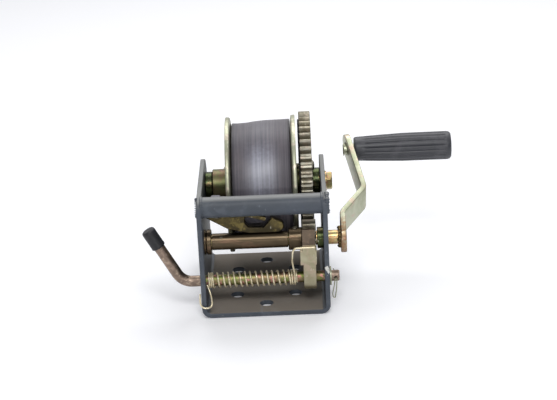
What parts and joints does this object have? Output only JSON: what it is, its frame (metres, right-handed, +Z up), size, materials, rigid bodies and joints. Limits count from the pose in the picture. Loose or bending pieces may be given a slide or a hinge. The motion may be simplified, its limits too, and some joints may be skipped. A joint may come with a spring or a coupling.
{
  "type": "boat trailer winch",
  "caption": "Hand-cranked geared winch in a bent steel channel, with a webbing drum, a sprung ratchet pawl and lever, and a stowed snap hook.",
  "frame": {"origin": "middle of the base's underside", "axes": "+X to the crank side, +Y to the rear (the side away from the cross tube), +Z up"},
  "size_m": [0.2673, 0.1579, 0.1455],
  "materials": {
    "frame_paint": "satin paint",
    "yellow_zinc": "zinc plated",
    "olive_zinc": "zinc plated",
    "green_zinc": "zinc plated",
    "brown_zinc": "zinc plated",
    "gear_steel": "zinc plated",
    "pale_zinc": "zinc plated",
    "black_rubber": "matt",
    "webbing": "woven"
  },
  "bodies": {
    "frame": {"frame_channel": "frame_paint", "cross_tube": "frame_paint", "axle_bolt": "yellow_zinc", "axle_washer": "yellow_zinc", "left_spacer": "green_zinc", "right_spacer": "green_zinc", "crank_bush_left": "green_zinc", "crank_bush_right": "green_zinc", "torsion_spring": "pale_zinc", "hook_body": "yellow_zinc", "hook_pin": "pale_zinc", "strap_loop": "webbing", "strap_tail": "webbing"},
    "drum": {"drum_hub": "green_zinc", "left_flange": "olive_zinc", "right_flange": "olive_zinc", "drum_gear": "gear_steel", "gear_rivet_1": "gear_steel", "gear_rivet_2": "gear_steel", "gear_rivet_3": "gear_steel", "gear_rivet_4": "gear_steel", "strap_bolt": "gear_steel", "strap_nut": "gear_steel", "webbing_roll": "webbing"},
    "crank": {"crank_shaft": "yellow_zinc", "crank_collar": "brown_zinc", "crank_sleeve": "brown_zinc", "pinion_hub": "brown_zinc", "set_screw": "gear_steel", "pinion": "gear_steel", "crank_arm": "pale_zinc", "arm_weld": "brown_zinc", "grip_spindle": "yellow_zinc"},
    "grip": {"crank_grip": "black_rubber"},
    "ratchet": {"ratchet_rod": "brown_zinc", "ratchet_pawl": "pale_zinc", "lever_cap": "black_rubber", "rod_washer": "pale_zinc", "cotter_pin": "pale_zinc"},
    "latch": {"hook_latch": "pale_zinc"}
  },
  "joints": [
    {"name": "drum_spin", "type": "hinge", "parent": "frame", "child": "drum", "pos_m": [0, 0.03, 0.084], "axis": [1, 0, 0], "continuous": true},
    {"name": "crank_spin", "type": "hinge", "parent": "frame", "child": "crank", "pos_m": [0, -0.03826, 0.05956], "axis": [1, 0, 0], "continuous": true},
    {"name": "grip_spin", "type": "hinge", "parent": "crank", "child": "grip", "pos_m": [0.12, 0.051, 0.10465], "axis": [1, 0, 0], "continuous": true},
    {"name": "ratchet_lever", "type": "hinge", "parent": "frame", "child": "ratchet", "pos_m": [0, -0.046, 0.0276], "axis": [1, 0, 0], "range_deg": [-7.5, 22.5], "stiffness_Nm_per_rad": 0.08, "deforming": ["torsion_spring"]},
    {"name": "latch_hinge", "type": "hinge", "parent": "frame", "child": "latch", "pos_m": [-0.019, -0.0375, 0.08476], "axis": [0, 1, 0], "range_deg": [0, 12], "stiffness_Nm_per_rad": 0.01, "springref_deg": -28.65}
  ],
  "couplings": [
    {"joint": "crank_spin", "follows": "drum_spin", "ratio": -4.8}
  ]
}
